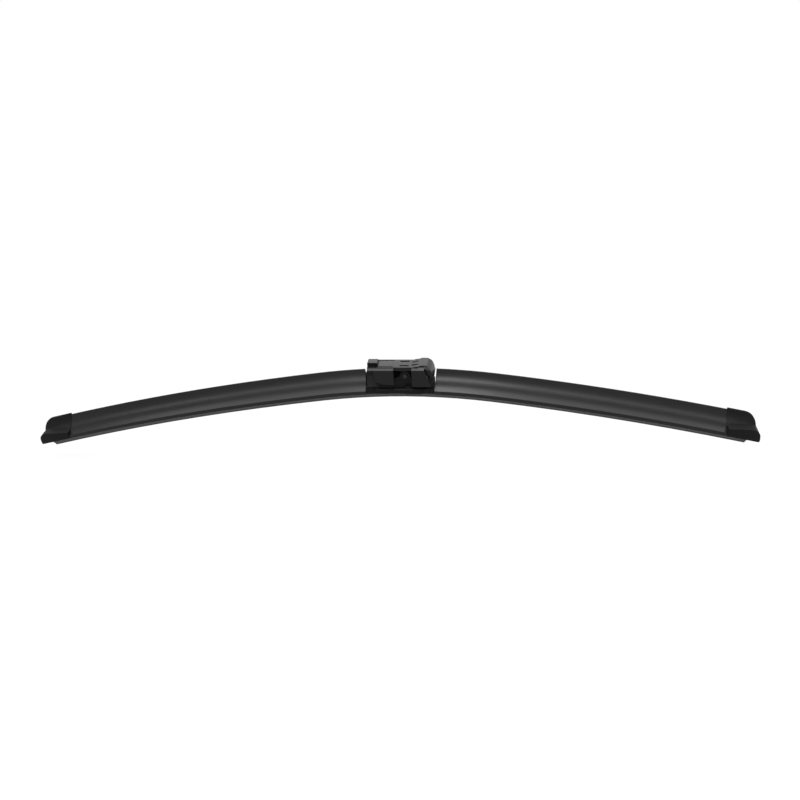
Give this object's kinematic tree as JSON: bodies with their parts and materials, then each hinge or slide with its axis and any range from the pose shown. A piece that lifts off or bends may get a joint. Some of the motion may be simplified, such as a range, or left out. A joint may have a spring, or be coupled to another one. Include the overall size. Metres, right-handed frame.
{
  "type": "wiper blade",
  "caption": "Flat windscreen wiper blade: hollow concave spoilers on twin spring strips, moulded end caps, and a push-button arm adapter that rocks on a steel pin.",
  "frame": {"origin": "the flat seat on top of the arm adapter, straight above the pivot pin", "axes": "+X along the blade towards its right end, +Z out of the adapter's top seat, away from the glass; -Y is the side of the concave flank that faces the camera"},
  "size_m": [0.5794, 0.0184, 0.0807],
  "materials": {
    "wiper_rubber": "matt graphite-coated rubber",
    "strip_steel": "black-painted spring steel",
    "spoiler_plastic": "satin black extrusion",
    "cap_plastic": "matt black moulding",
    "base_plastic": "matt black moulding",
    "pin_steel": "plain steel",
    "adapter_plastic": "satin black moulding"
  },
  "bodies": {
    "adapter": {"arm_adapter": "adapter_plastic"},
    "blade": {"connector_base": "base_plastic", "pivot_pin": "pin_steel", "wiper_rubber": "wiper_rubber", "spring_strip_front": "strip_steel", "spring_strip_rear": "strip_steel", "spoiler_left": "spoiler_plastic", "spoiler_right": "spoiler_plastic", "end_cap_left": "cap_plastic", "end_cap_right": "cap_plastic"}
  },
  "joints": [
    {"name": "blade_rock", "type": "hinge", "parent": "adapter", "child": "blade", "pos_m": [0, 0, -0.00855], "axis": [0, 1, 0], "range_deg": [-12, 12]}
  ]
}
